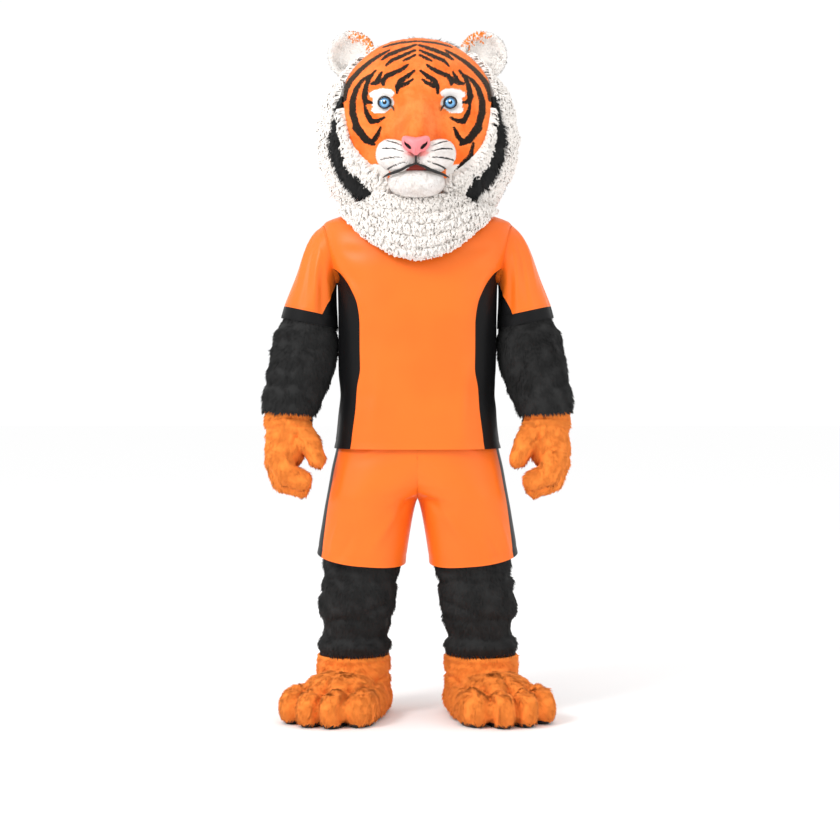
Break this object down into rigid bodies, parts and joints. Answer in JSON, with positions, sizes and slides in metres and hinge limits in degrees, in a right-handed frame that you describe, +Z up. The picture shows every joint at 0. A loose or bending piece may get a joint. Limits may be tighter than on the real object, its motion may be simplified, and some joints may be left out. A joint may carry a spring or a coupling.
{
  "type": "tiger mascot costume",
  "caption": "Worn-shape tiger mascot costume: full furry head with ruff and bib, orange and black jersey and shorts, black fur suit, clawless gloves and big paw feet.",
  "frame": {"origin": "between the wearer's shoulders, 1.40 m above the soles, in the costume's middle plane", "axes": "+Z up, -Y the way the face looks, +X the costume's own left, which is on the right when the face is seen"},
  "size_m": [0.873, 0.54, 1.931],
  "materials": {
    "orange_jersey_cloth": "smooth polyester knit with a soft sheen",
    "black_jersey_cloth": "smooth polyester knit with a soft sheen",
    "orange_fur": "short dense plush pile",
    "black_fur": "short shaggy fur pile",
    "white_fur": "long curly fur pile",
    "black_sole": "matte moulded sole",
    "pink_nose": "satin moulded nose",
    "mouth_cloth": "smooth dark lining",
    "eye_plastic": "domed clear plastic over a printed iris"
  },
  "bodies": {
    "root": {"bib_tier_1": "white_fur", "bib_tier_2": "white_fur", "bib_tier_3": "white_fur", "bib_tier_4": "white_fur", "bib_tier_5": "white_fur", "cheek_strip_left": "white_fur", "cheek_strip_right": "white_fur", "chin": "white_fur", "ear_left": "white_fur", "ear_right": "white_fur", "eye_left": "eye_plastic", "eye_right": "eye_plastic", "face_left": "orange_fur", "face_right": "orange_fur", "glove_back_left": "orange_fur", "glove_back_right": "orange_fur", "glove_palm_left": "black_fur", "glove_palm_right": "black_fur", "hood_back_left": "white_fur", "hood_back_right": "white_fur", "hood_front_left": "white_fur", "hood_front_right": "white_fur", "jersey_back": "orange_jersey_cloth", "jersey_front": "orange_jersey_cloth", "jersey_side_left": "black_jersey_cloth", "jersey_side_right": "black_jersey_cloth", "mouth_lining": "mouth_cloth", "muzzle_left": "white_fur", "muzzle_right": "white_fur", "nose": "pink_nose", "nose_bridge": "orange_fur", "paw_sole_left": "black_sole", "paw_sole_right": "black_sole", "paw_upper_left": "orange_fur", "paw_upper_right": "orange_fur", "ruff_stripe_left": "black_fur", "ruff_stripe_right": "black_fur", "shorts_back_left": "orange_jersey_cloth", "shorts_back_right": "orange_jersey_cloth", "shorts_front_left": "orange_jersey_cloth", "shorts_front_right": "orange_jersey_cloth", "shorts_stripe_left": "black_jersey_cloth", "shorts_stripe_right": "black_jersey_cloth", "shorts_waistband": "orange_jersey_cloth", "sleeve_band_left": "black_jersey_cloth", "sleeve_band_right": "black_jersey_cloth", "sleeve_left": "orange_jersey_cloth", "sleeve_right": "orange_jersey_cloth", "suit_arm_left": "black_fur", "suit_arm_right": "black_fur", "suit_body_left": "black_fur", "suit_body_right": "black_fur", "suit_leg_left": "black_fur", "suit_leg_right": "black_fur", "underarm_gusset_left": "black_jersey_cloth", "underarm_gusset_right": "black_jersey_cloth"}
  },
  "joints": []
}
